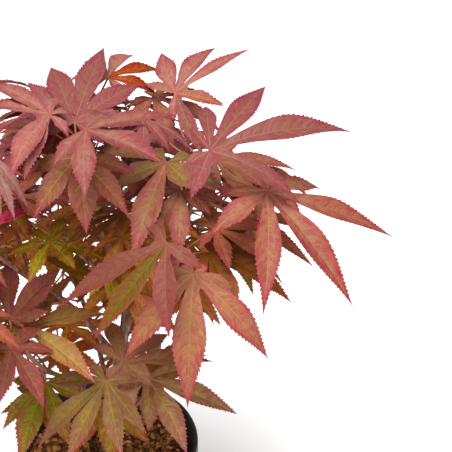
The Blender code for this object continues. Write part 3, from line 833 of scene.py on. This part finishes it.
def leafMesh(spec, rng):
    # one closed blade: points in millimetres, faces, and each face's coat and part
    kept = list(keptLobes(spec))
    turn = leafTurn(spec)
    points, faces, parts, found = [], [], [], {}
    size = spec["lobe"]
    thick = leafCut["thickness"] * 0.5
    wide = spec.get("wide", leafCut["wide"] + leafCut["wider"] * size)
    drawn = spec.get("drawn", leafCut["drawn"])
    lobes = {}
    for k in kept:
        fan = spec.get("fan", {}).get(k, ())
        longer, turned, bent, wider = fan + (1, 0, 0, 1)[len(fan):]
        arch = math.radians(spec.get("arch", {}).get(k, rng.uniform(*leafCut["arch"])))
        plainBend = math.radians(spec["droop"] + bent)
        bend = plainBend + 2 * arch
        bend = bend if abs(bend) > 0.02 else 0.02
        held = (math.sin(plainBend / 2) / plainBend) / (math.sin(bend / 2) / bend)
        lobes[k] = dict(
            length=size * lobeLengths[k] * longer * held,
            half=wide * wider * lobeLengths[k] ** 0.6,
            turn=math.radians(lobeTurns[k] * spec["spread"] + turned),
            bend=bend, arch=arch, coat=spec.get("tint", {}).get(k, spec["coat"]),
            **{look: rng.uniform(*leafCut[look]) for look in ("fold", "sweep", "wave", "shade")})

    def spot(key, place):
        if key not in found:
            found[key] = len(points)
            points.append(turn @ place + spec["at"])
        return found[key]

    def spine(k, s):
        # rises by the arch at first, so the tip stays where it would be without it
        look = lobes[k]
        start = look["arch"]
        now = start - look["bend"] * s
        return (look["length"] * (math.sin(start) - math.sin(now)) / look["bend"],
                look["length"] * (math.cos(now) - math.cos(start)) / look["bend"])

    def webAngle(k, side):
        # from the middle of the lobe to its web on that side
        if k + side in lobes:
            return (lobes[k + side]["turn"] - lobes[k]["turn"]) * 0.5
        return side * math.radians(leafCut["outerWeb"])

    def webPoint(k, row, c, level):
        r = leafCut["webRadii"][row] * size
        side = 1 if c > 0 else -1
        other = k + side if k + side in lobes else k
        out, down = spine(k, min(1.0, r / lobes[k]["length"]))
        otherDown = spine(other, min(1.0, r / lobes[other]["length"]))[1]
        angle = lobes[k]["turn"] + abs(c) * webAngle(k, side)
        sunk, reached = leafCut["webChannel"]
        rise = leafCut["webRise"] * abs(c) * r - sunk * (1 - abs(c)) * ease(r / reached)
        return polar(angle, r, mix(down, (down + otherDown) * 0.5, abs(c)) + rise + level)

    def lobeAt(k, s, across, level):
        # across is in millimetres, + on the left
        look = lobes[k]
        out, down = spine(k, s)
        half = look["half"]
        c = min(1.0, abs(across) / half)
        rise = look["fold"] * abs(across) - leafCut["channel"] * (1 - c)
        waves = math.sin(look["wave"] + leafCut["waves"] * s + (leafCut["outOfStep"] if across > 0 else 0))
        rise += leafCut["waviness"] * half * c * c * waves
        across += look["length"] * look["sweep"] * max(0.0, s - leafCut["straight"]) ** 2
        return polar(look["turn"], out, down + rise + level, across)

    def onWeb(k, side, row):
        # whether this row is still joined to the next lobe on that side
        return k + side in lobes and row <= leafCut["webEnds"][min(k, k + side)]

    def lobeRows(k):
        length = lobes[k]["length"]
        base = leafCut["webRadii"][-1] * size / length + 0.02
        count = max(3, round(length * (leafCut["lastTooth"] - base) / leafCut["toothSpacing"]))
        rows = [(leafCut["webRadii"][i] * size / length, "web", i) for i in range(webCount)]
        for i in range(count):
            a = mix(base, leafCut["lastTooth"], i / count)
            b = mix(base, leafCut["lastTooth"], (i + 1) / count)
            # a side vein is a narrow strip after every second dip
            rows += [(a, "dip", i), (mix(a, b, leafCut["toothPlace"][i % 2]), "tooth", i)]
        return rows + [(leafCut["lastTooth"], "tip", 0), (0.95, "tip", 1)]

    def crossRow(k, row, level, columns, low=None):
        # one row of points across a lobe; low shares its ends with the top row where the edge is free
        s, kind, index = row
        look = lobes[k]
        length = look["length"]
        half = look["half"]
        ids = []
        for j, column in enumerate(columns):
            side = -1 if column < 0 else 1
            c = abs(column)
            name = ("low" if low else "top", k, kind, index, j)
            if kind == "web":
                r = s * length
                rib = min(0.3, leafCut["midrib"] / max(0.1, abs(webAngle(k, side)) * r))
                c = rib if c == 0.01 else c
                if onWeb(k, side, index) and (c == 1 or index < webCount - 1):
                    if c == 1:
                        name = ("web", min(k, k + side), index, level > 0)
                    ids.append(spot(name, webPoint(k, index, side * c, level * (0.6 if c == 1 else 1))))
                    continue
                across = min(half * halfWidth(s, drawn), abs(webAngle(k, side)) * r) * c
                if c == rib:
                    across = min(leafCut["midrib"], 0.3 * half)
                if c == 1:
                    name = ("edge", k, kind, index, side)
                    ids.append(spot(name, lobeAt(k, s, side * across, 0)))
                elif c == 0 and index < webCount - 1:
                    ids.append(spot(name, webPoint(k, index, 0, level)))
                else:
                    ids.append(spot(name, lobeAt(k, s, side * across, level)))
                continue
            lean = leafCut["lean"] * ease((s - leafCut["webRadii"][-1] * size / length) / 0.12)
            forward = lean * half * halfWidth(s, drawn) / length
            across = half * halfWidth(min(1.0, s + forward), drawn)
            if c == 1:
                least, start, growth = leafCut["toothFade"]
                depth = min(leafCut["toothDepth"], 0.25 * across)
                depth *= mix(least, 1.0, ease((s - start) / growth))
                depth *= leafCut["bite"][kind]
                depth *= leafCut["toothSizes"][index % 2]
                push = 0
                if kind == "tooth":
                    push = leafCut["toothSpacing"] * leafCut["toothReach"][index % 2] / length
                name = ("edge", k, kind, index, side)
                place = lobeAt(k, min(0.985, s + forward + push), side * (across + depth), 0)
                ids.append(spot(name, place))
                continue
            pillow = 0.0
            if low is None and c > 0.01 and kind != "tip":
                # the blade swells between its sunken side veins, and is a little crinkled
                pillow = leafCut["pillow"][kind] if index % 2 else leafCut["sunk"]
                place = Vector((s * length, side * c * half, k * 9.1 + spec["heading"]))
                height, closeness = leafCut["crinkle"]
                pillow = (pillow + height * noise.noise(place * closeness)) * (1 - c * c)
            if low and c == 0:
                pillow = -leafCut["keel"]
            if c == 0.01:
                across = min(leafCut["midrib"] * mix(1, leafCut["midribTip"], s), 0.4 * across)
                c = 1
            place = lobeAt(k, s + forward * abs(column) ** 1.4, side * across * c, level + pillow)
            ids.append(spot(name, place))
        return ids

    def tone(k, s, c, vein):
        # which plain colour a top face gets: heart inside, edge outside and towards the tip
        if s > leafFinish["tipPart"]:
            return (lobes[k]["coat"], "tip")
        far, late = leafFinish["edgeward"]
        early, more, turnPoint = leafFinish["tipward"]
        t = far * abs(c) ** late + early * (s - 0.3) + more * max(0.0, s - turnPoint) + lobes[k]["shade"]
        place = Vector((s * lobes[k]["length"], c * lobes[k]["half"] * 1.4, k * 31.7 + spec["heading"]))
        t += leafFinish["mottle"] * sum(noise.noise(place / size) * strength
                                        for size, strength in leafFinish["patches"])
        chance = rng.uniform(-1, 1)
        t += leafFinish["speckle"] * chance
        step = max(0, min(leafFinish["steps"] - 1, int(t * leafFinish["steps"])))
        fleck = noise.noise(place / leafFinish["fleckSize"] + Vector((7, 3, 1)))
        fleck += leafFinish["fleckChance"] * chance
        if vein == "plain" and abs(fleck) > leafFinish["fleckLimit"]:
            vein = "pale" if fleck > 0 else "deep"
        if vein == "midrib":
            step = 2
        elif vein == "sideVein":
            step = max(0, step - 1)
        return (lobes[k]["coat"], (step, vein))

    def addFace(face, look):
        if len(set(face)) > 2:
            faces.append(face)
            parts.append(look)

    webCount = len(leafCut["webRadii"])
    inner, outer = leafCut["columns"], tuple(-c for c in reversed(leafCut["columns"]))
    topColumns = (-1,) + outer + (-0.01, 0, 0.01) + inner + (1,)
    lowColumns = (-1, -0.5, 0, 0.5, 1)
    middles = (-0.9, -0.66, -0.4, -0.15, 0.0, 0.0, 0.15, 0.4, 0.66, 0.9)
    topHub = spot("topHub", Vector((0, 0, thick + 0.1)))
    lowHub = spot("lowHub", Vector((0, 0, -thick - 0.1)))
    for k in kept:
        under = (lobes[k]["coat"], "under")
        top, low = [topHub] * 11, [lowHub] * 5
        for row in lobeRows(k):
            nextTop = crossRow(k, row, thick, topColumns)
            nextLow = crossRow(k, row, -thick, lowColumns, low=True)
            s, kind, index = row
            sideVein = kind == "tooth" and index % 2 == 0
            for j in range(10):
                vein = "midrib" if j in (4, 5) else "sideVein" if sideVein and 1 < j < 8 else "plain"
                face = (top[j], nextTop[j], nextTop[j + 1], top[j + 1])
                addFace(tuple(dict.fromkeys(face)), tone(k, s, middles[j], vein))
            for j in range(4):
                face = (low[j], low[j + 1], nextLow[j + 1], nextLow[j])
                addFace(tuple(dict.fromkeys(face)), under)
            # where a web ends, its last top and low points close on the lobe's own edge
            for j in (0, -1):
                if top[j] != low[j] and nextTop[j] == nextLow[j]:
                    rim = (top[j], low[j], nextTop[j])
                    addFace(rim if j == 0 else tuple(reversed(rim)), under)
            top, low = nextTop, nextLow
        tip = spot(("tip", k), lobeAt(k, 1.0, 0, 0))
        for j in range(10):
            addFace((top[j], tip, top[j + 1]), (lobes[k]["coat"], "tip"))
        for j in range(4):
            addFace((low[j], low[j + 1], tip), under)
    return points, faces, parts


def joinedLeaves(name, found, rng):
    store, used = newStore(), {}
    for spec, _ in found:
        points, faces, parts = leafMesh(spec, rng)
        addShape(store, points, faces, [used.setdefault(part, len(used)) for part in parts])
    return newPiece(name, store, [coatMaterial(*key) for key in used], sharp=70)


leafRng = random.Random(leafCut["seed"])
for mass, found in leaves.items():
    every = enumerate(found + extraLeaves[mass])
    leaves[mass] = [(redrawn.get((mass, i), spec), root) for i, (spec, root) in every
                    if i not in leftOut.get(mass, ())]
    ready(joinedLeaves(mass.replace("foliage", "leaves"), leaves[mass], leafRng), "leaf", mass)
print("leaf blades done")


# Stalks and green stems

stalkLook = {
    "sides": {"stem": 10, "stalk": 8, "twig": 7, "bud": 7},
    "rooted": 3,                # mm that a stem starts inside its bough
    "nodeSwell": (0.35, 1.4),   # share that it swells at a node, and over how many mm
    "stalkRadius": 0.5,
    "footSwell": (0.35, 14),    # mm that a stalk is thicker at the stem, and how soon that fades
    "jointSwell": (0.22, 16),   # and at the blade
    "twigRadii": (0.75, 0.5),
    "budTurns": (37, 217),
    "budPlaces": (0.4, 1.4, 2.2, 2.9),
    "budRadii": (0.5, 0.75, 0.5, 0.1),
}
stalkFinish = {
    "stalk": ("#A8603A", 0.45),
    "joint": ("#C8503A", 0.45),
    "stem": ("#8A5A44", 0.55),
    "bud": ("#7A2C30", 0.5),
}


def stalkMaterials():
    # soft young wood and leaf stalks: smooth, waxy, reddish where the sun reaches them
    return {name: newMaterial("maple " + name, *look) for name, look in stalkFinish.items()}


def addTube(store, path, radii, sides, kind):
    points, faces = tubeShape(path, radii, sides)
    addShape(store, points, faces, [list(stalkFinish).index(kind)] * len(faces))


def stemPiece(mass, stem, found, looks):
    store = newStore()
    sides = stalkLook["sides"]
    back = stem[0] - (stem[1] - stem[0]).normalized() * stalkLook["rooted"]
    line = curveThrough([back] + stem, 8)
    nodes = stem[1:]
    share, over = stalkLook["nodeSwell"]
    radii = []
    for i, p in enumerate(line):
        near = min((p - node).length for node in nodes)
        swell = 1 + share * math.exp(-(near / over) ** 2)
        radii.append(mix(plan["stemFoot"], plan["stemTip"], i / (len(line) - 1)) * swell)
    addTube(store, line, radii, sides["stem"], "stem")
    foot, footFade = stalkLook["footSwell"]
    joint, jointFade = stalkLook["jointSwell"]
    for spec, root in found:
        line = curveThrough(stalkLine(spec, root), 7)
        shares = [i / (len(line) - 1) for i in range(len(line))]
        radii = [stalkLook["stalkRadius"] + foot * math.exp(-t * footFade)
                 + joint * math.exp(-(1 - t) * jointFade) for t in shares]
        addTube(store, line[:-1], radii[:-1], sides["stalk"], "stalk")
        addTube(store, line[-2:], radii[-2:], sides["stalk"], "joint")
    for twig in twigs[mass]:
        line = curveThrough(twig, 4)
        radii = [mix(*stalkLook["twigRadii"], i / (len(line) - 1)) for i in range(len(line))]
        addTube(store, line, radii, sides["twig"], "stem")
    for node in nodes:
        for turn in stalkLook["budTurns"]:
            away = polar(math.radians(turn), 1, 0.9).normalized()
            path = [node + away * d for d in stalkLook["budPlaces"]]
            addTube(store, path, stalkLook["budRadii"], sides["bud"], "bud")
    piece = newPiece(mass.replace("foliage", "stalks"), store, looks.values(), sharp=60)
    return ready(piece, "leaf", mass)


stalkLooks = stalkMaterials()
for mass, stem in stems.items():
    stemPiece(mass, stem, leaves[mass], stalkLooks)
print("stalks done")


# Trunk and boughs

barkLook = {
    "trunkSides": 40,
    "trunkStep": 0.8,           # mm between rings
    "boughSides": 16,
    "boughStep": 1.0,
    "relief": (0.28, 1.6),      # mm, and the grain of old bark
    "youngRelief": (0.06, 1.2),
    "ridge": 0.25,              # share of the root flare that stands out in ridges
    "collar": (0.5, 3.0),       # mm that the trunk swells where a bough leaves it, and over what length
    "footSwell": (0.55, 3),     # share that a bough swells there, and over what length
}


def barkMaterial(name, dark, middle, pale, grain):
    # maple bark: thin, grey-brown, with fine lengthwise cracks; grain is the crack spacing in mm
    made = newMaterial(name, middle, 0.8)
    place = addNode(made, "ShaderNodeTexCoord", {}, [])
    stretch = addNode(made, "ShaderNodeMapping", {"Scale": (1.0, 1.0, 0.22)}, [("Vector", place, "Object")])
    settings = {"Scale": 1 / (grain * mm), "Detail": 4.0, "Roughness": 0.6}
    cracks = addNode(made, "ShaderNodeTexNoise", settings, [("Vector", stretch, "Vector")])
    addRamp(made, cracks, (0.36, dark), (0.66, pale), (0.5, middle))
    addBump(made, cracks, "Fac", 0.5, 0.15)
    return made


def resampled(path, radii, step):
    # even rings along a limb
    line, sizes = [], []
    for i in range(len(path) - 1):
        count = max(1, round((path[i + 1] - path[i]).length / step))
        for j in range(count):
            line.append(mix(path[i], path[i + 1], j / count))
            sizes.append(mix(radii[i], radii[i + 1], j / count))
    line.append(path[-1])
    sizes.append(radii[-1])
    return line, sizes


def roughen(points, line, sides, relief, grain):
    for i, centre in enumerate(line):
        for k in range(i * sides, (i + 1) * sides):
            p = points[k]
            place = Vector((p.x / grain, p.y / grain, p.z / (grain * 4)))
            points[k] = p + (p - centre).normalized() * (relief * noise.fractal(place, 0.8, 2.1, 4))


def barkPiece(name, points, faces, bark, slot, node):
    store = newStore()
    addShape(store, points, faces, [0] * len(faces))
    return ready(newPiece(name, store, [bark], sharp=60), slot, node)


def trunkPiece(bark):
    # the cut foot is level, and the root flare stands out in ridges
    path = curveThrough(plan["trunkPath"], 16)
    path, _ = resampled(path, [1] * len(path), barkLook["trunkStep"])
    sides = barkLook["trunkSides"]
    tapered = taperedTrunk(path)
    points, faces = tubeShape(path, [plain for plain, _ in tapered], sides, Vector((1, 0, 0)))
    collars = [limbPlace(*limbs["trunk"], share)[0] for parent, share, *_ in boughs.values()
               if parent == "trunk"]
    swell, over = barkLook["collar"]
    for i, centre in enumerate(path):
        collar = sum(swell * math.exp(-((centre - c).length / over) ** 2) for c in collars)
        for k in range(sides):
            angle = 2 * math.pi * k / sides
            p = points[i * sides + k]
            wave = math.cos(plan["flareRoots"] * angle)
            ridge = tapered[i][1] * (1 - barkLook["ridge"] + barkLook["ridge"] * wave) + collar
            points[i * sides + k] = p + (p - centre).normalized() * ridge
    roughen(points, path, sides, *barkLook["relief"])
    for p in points[:sides]:
        p.z = path[0].z
    return barkPiece("trunk_bark", points, faces, bark, "bark", "trunk")


def boughPiece(name, bark):
    parent, share, radius, tipRadius, route = boughs[name]
    path, radii = limbs[name]
    at = limbPlace(*limbs[parent], share)[0]
    smooth = curveThrough([at] + path, 3) if share < 1 else curveThrough(path, 3)
    if share >= 1:
        smooth = [at - (path[1] - path[0]).normalized() * 2] + smooth
    sizes = [mix(radius, tipRadius, i / (len(smooth) - 1)) for i in range(len(smooth))]
    line, sizes = resampled(smooth, sizes, barkLook["boughStep"])
    swell, over = barkLook["footSwell"]
    sizes = [r * (1 + swell * math.exp(-max(0, (p - line[0]).length - 2) / over))
             for p, r in zip(line, sizes)]
    sides = barkLook["boughSides"]
    points, faces = tubeShape(line, sizes, sides)
    roughen(points, line, sides, *barkLook["youngRelief"])
    return barkPiece(name + "_bark", points, faces, bark, "young_bark", name)


oldBark = barkMaterial("maple bark, old", "#4A3A30", "#7A6552", "#A08C74", 1.4)
youngBark = barkMaterial("maple bark, young", "#5A3328", "#84523E", "#A07860", 1.6)
trunkPiece(oldBark)
for name in boughs:
    boughPiece(name, youngBark)
print("trunk and boughs done")


# Pot

pot = {
    "height": 92.0,
    "lipRadius": 52.5,
    "lipDepth": 9.0,
    "lipStep": 2.6,
    "footRadius": 37.0,
    "wall": 1.8,
    "floor": 2.4,
    "drainRadius": 3.5,
    "drainCircle": 25.0,
    "drainCount": 6,
    "turns": 160,
}


def potMaterial():
    # injection-moulded recycled polypropylene: dark grey, satin, with dust and fine scuffs
    made = newMaterial("polypropylene, dark grey", "#282B2E", 0.42)
    place = addNode(made, "ShaderNodeTexCoord", {}, [])
    settings = {"Scale": 1 / (14 * mm), "Detail": 6.0, "Roughness": 0.65}
    dust = addNode(made, "ShaderNodeTexNoise", settings, [("Vector", place, "Object")])
    addRamp(made, dust, (0.42, "#232629"), (0.72, "#3C4042"))
    settings = {"Scale": 1 / (0.9 * mm), "Detail": 3.0}
    grain = addNode(made, "ShaderNodeTexNoise", settings, [("Vector", place, "Object")])
    addBump(made, grain, "Fac", 0.25, 0.08)
    return made


def wallRadius(z):
    return mix(pot["footRadius"], pot["lipRadius"] - pot["lipStep"], z / pot["height"])


def arc(cx, cz, r, first, last, count):
    return [(cx + r * math.cos(math.radians(mix(first, last, i / count))),
             cz + r * math.sin(math.radians(mix(first, last, i / count)))) for i in range(count + 1)]


def potPiece(plastic):
    lipFoot = pot["height"] - pot["lipDepth"]
    outer = pot["lipRadius"]
    profile = [(0, 0.8), (20, 0.8), (21, 0), (pot["footRadius"] - 2, 0)]
    profile += arc(pot["footRadius"] - 1.6, 1.6, 1.6, -90, -8, 5)
    profile += [(wallRadius(z), z) for z in (12, 30, 52, 70, lipFoot - 1.2)]
    profile += [(outer - 1.6, lipFoot + 0.2)]
    profile += arc(outer - 1.0, lipFoot + 1.4, 0.9, -60, 0, 3)
    profile += [(outer - 0.05, lipFoot + 4.2)]
    profile += arc(outer - 1.3, pot["height"] - 1.3, 1.3, 0, 180, 8)
    profile += [(outer - 2.9, pot["height"] - 3.0), (wallRadius(lipFoot) - pot["wall"], lipFoot - 2.0)]
    profile += [(wallRadius(z) - pot["wall"], z) for z in (60, 30, pot["floor"] + 2)]
    profile += [(wallRadius(0) - pot["wall"] - 1.5, pot["floor"]), (0, pot["floor"])]
    mesh = bpy.data.meshes.new("pot_shell")
    mesh.from_pydata([(r * mm, 0, z * mm) for r, z in profile],
                     [(i, i + 1) for i in range(len(profile) - 1)], [])
    mesh.materials.append(plastic)
    piece = linked("pot_shell", mesh)
    only(piece)
    bpy.ops.object.mode_set(mode="EDIT")
    bpy.ops.mesh.select_all(action="SELECT")
    bpy.ops.mesh.spin(steps=pot["turns"], angle=2 * math.pi, center=(0, 0, 0), axis=(0, 0, 1))
    bpy.ops.mesh.select_all(action="SELECT")
    bpy.ops.mesh.remove_doubles(threshold=0.02 * mm)
    bpy.ops.mesh.normals_make_consistent(inside=False)
    bpy.ops.object.mode_set(mode="OBJECT")
    drills = []
    for k in range(pot["drainCount"]):
        angle = 2 * math.pi * (k + 0.5) / pot["drainCount"]
        bpy.ops.mesh.primitive_cylinder_add(vertices=40, radius=pot["drainRadius"] * mm, depth=20 * mm,
                                            location=polar(angle, pot["drainCircle"] * mm))
        drills.append(bpy.context.active_object)
    for drill in drills:
        only(piece)
        cut = piece.modifiers.new("drain", "BOOLEAN")
        cut.operation = "DIFFERENCE"
        cut.object = drill
        bpy.ops.object.modifier_apply(modifier=cut.name)
        bpy.data.objects.remove(drill)
    only(piece)
    bpy.ops.object.shade_smooth_by_angle(angle=math.radians(38))
    return ready(piece, "pot_plastic", "pot")


potPiece(potMaterial())
print("pot done")


# Potting mix

mixLook = {
    "radius": 47.4,
    "top": 78.2,                # mm, the bed that the crumbs lie on
    "edge": 77.6,
    "unevenness": 0.9,
    "sides": 96,
    "crumbs": 2400,
    "size": (0.9, 2.6),
    "flatness": (0.35, 0.8),
    "length": (1.0, 1.9),
    "heap": (-0.5, 1.0),
    "raised": 0.4,              # mm that they lie above the bed
    "spread": 0.985,            # share of the radius that they reach
    "ragged": (0.75, 1.2),
    "tilt": (-0.6, 0.6),        # radians
    "colours": ("#AA6E36", "#835229", "#5A381D", "#C88A49", "#955F33", "#472E1B", "#E2A866"),
    "seed": 3,
}


def bedPiece(look):
    inside = pot["wall"] + 0.4
    low = pot["floor"] + plan["gap"]
    rings = [(wallRadius(0) - pot["wall"] - 1.6, low), (wallRadius(40) - inside, 40),
             (wallRadius(74) - inside, 74), (mixLook["radius"], mixLook["edge"])]
    rings += [(mixLook["radius"] * (share / 100), mixLook["top"]) for share in range(96, 0, -8)]
    sides = mixLook["sides"]
    points = [Vector((0, 0, low))]
    for r, z in rings:
        for k in range(sides):
            p = polar(2 * math.pi * k / sides, r, z)
            if z == mixLook["top"]:
                p.z += mixLook["unevenness"] * noise.fractal(p / 5.0, 0.9, 2.0, 3)
            points.append(p)
    points.append(Vector((0, 0, mixLook["top"] + 0.1)))
    last = len(points) - 1
    top = last - sides
    faces = [(0, 1 + (k + 1) % sides, 1 + k) for k in range(sides)] + ringFaces(len(rings), sides, 1)
    faces += [(top + k, top + (k + 1) % sides, last) for k in range(sides)]
    store = newStore()
    addShape(store, points, faces, [0] * len(faces))
    bed = newPiece("mix_bed", store, [look])
    bed.data.shade_smooth()
    return ready(bed, "potting_mix", "potting_mix")


def crumbsPiece(looks):
    rng = random.Random(mixLook["seed"])
    bpy.ops.mesh.primitive_ico_sphere_add(subdivisions=1, radius=1)
    ball = bpy.context.active_object
    shape = [v.co.copy() for v in ball.data.vertices]
    faces = [tuple(f.vertices) for f in ball.data.polygons]
    bpy.data.objects.remove(ball)
    store = newStore()
    for _ in range(mixLook["crumbs"]):
        r = mixLook["radius"] * mixLook["spread"] * math.sqrt(rng.random())
        angle = rng.uniform(0, 2 * math.pi)
        size, flat, long = (rng.uniform(*mixLook[look]) for look in ("size", "flatness", "length"))
        turns = [Matrix.Rotation(rng.uniform(*bounds), 3, axis)
                 for bounds, axis in (((0, 6.28), "Z"), (mixLook["tilt"], "X"), (mixLook["tilt"], "Y"))]
        turn = turns[0] @ turns[1] @ turns[2]
        r = min(r, mixLook["radius"] - size * 0.8)
        middle = polar(angle, r, mixLook["top"] + mixLook["raised"] + rng.uniform(*mixLook["heap"]))
        points = []
        for p in shape:
            q = Vector((p.x * size * long, p.y * size, p.z * size * flat))
            q *= rng.uniform(*mixLook["ragged"])
            points.append(turn @ q * 0.8 + middle)
        addShape(store, points, faces, [rng.randrange(len(looks))] * len(faces))
    return ready(newPiece("mix_crumbs", store, looks), "potting_mix", "potting_mix")


# loose bark and peat, dull and dry on top: one plain colour for each kind of crumb
mixLooks = [newMaterial("composted bark " + str(i), colour, 0.9)
            for i, colour in enumerate(mixLook["colours"])]
bedPiece(mixLooks[2])
crumbsPiece(mixLooks)
print("potting mix done")


# Stage, light and camera

studio = {
    "floor": 12,
    "paper": "#FBFBFB",
    "glow": 0.3,
    "world": 0.27,
    "aim": (0, 0, 0.2),
    "lights": {                 # place, size, power
        "key": ((-0.25, -0.45, 1.9), 1.3, 50),
        "fill": ((0.9, -1.2, 0.8), 1.6, 9),
    },
    "camera": (0.0688, -0.6547, 0.7220),
    "sensor": 36,               # mm
    "lens": 36 * 1543 / 452,
}


def stageAndLight():
    # lit studio paper: its faint glow keeps the shadow under the plant pale
    paper = newMaterial("studio paper", studio["paper"], 0.9, Emission_Color=(1, 1, 1, 1),
                        Emission_Strength=studio["glow"])
    bpy.ops.mesh.primitive_plane_add(size=studio["floor"], location=(0, 0, -0.0002))
    floor = bpy.context.active_object
    floor.name = "studio_floor"
    floor.data.materials.append(paper)
    world = bpy.data.worlds.new("studio")
    world.use_nodes = True
    background = world.node_tree.nodes["Background"].inputs
    background["Color"].default_value = (1, 1, 1, 1)
    background["Strength"].default_value = studio["world"]
    bpy.context.scene.world = world
    for name, (place, size, power) in studio["lights"].items():
        light = bpy.data.lights.new(name, "AREA")
        light.size = size
        light.energy = power
        lamp = linked(name, light)
        lamp.location = place
        aim = Vector(studio["aim"]) - Vector(place)
        lamp.rotation_euler = aim.to_track_quat("-Z", "Y").to_euler()


def frontCamera():
    data = bpy.data.cameras.new("camera")
    data.sensor_width = studio["sensor"]
    data.lens = studio["lens"]
    data.clip_end = 50
    camera = linked("camera", data)
    camera.location = studio["camera"]
    camera.rotation_euler = (math.radians(90 - viewDown), 0, 0)
    bpy.context.scene.camera = camera


stageAndLight()
frontCamera()
bpy.context.scene.view_settings.view_transform = "Standard"
bpy.context.scene.view_settings.look = "None"
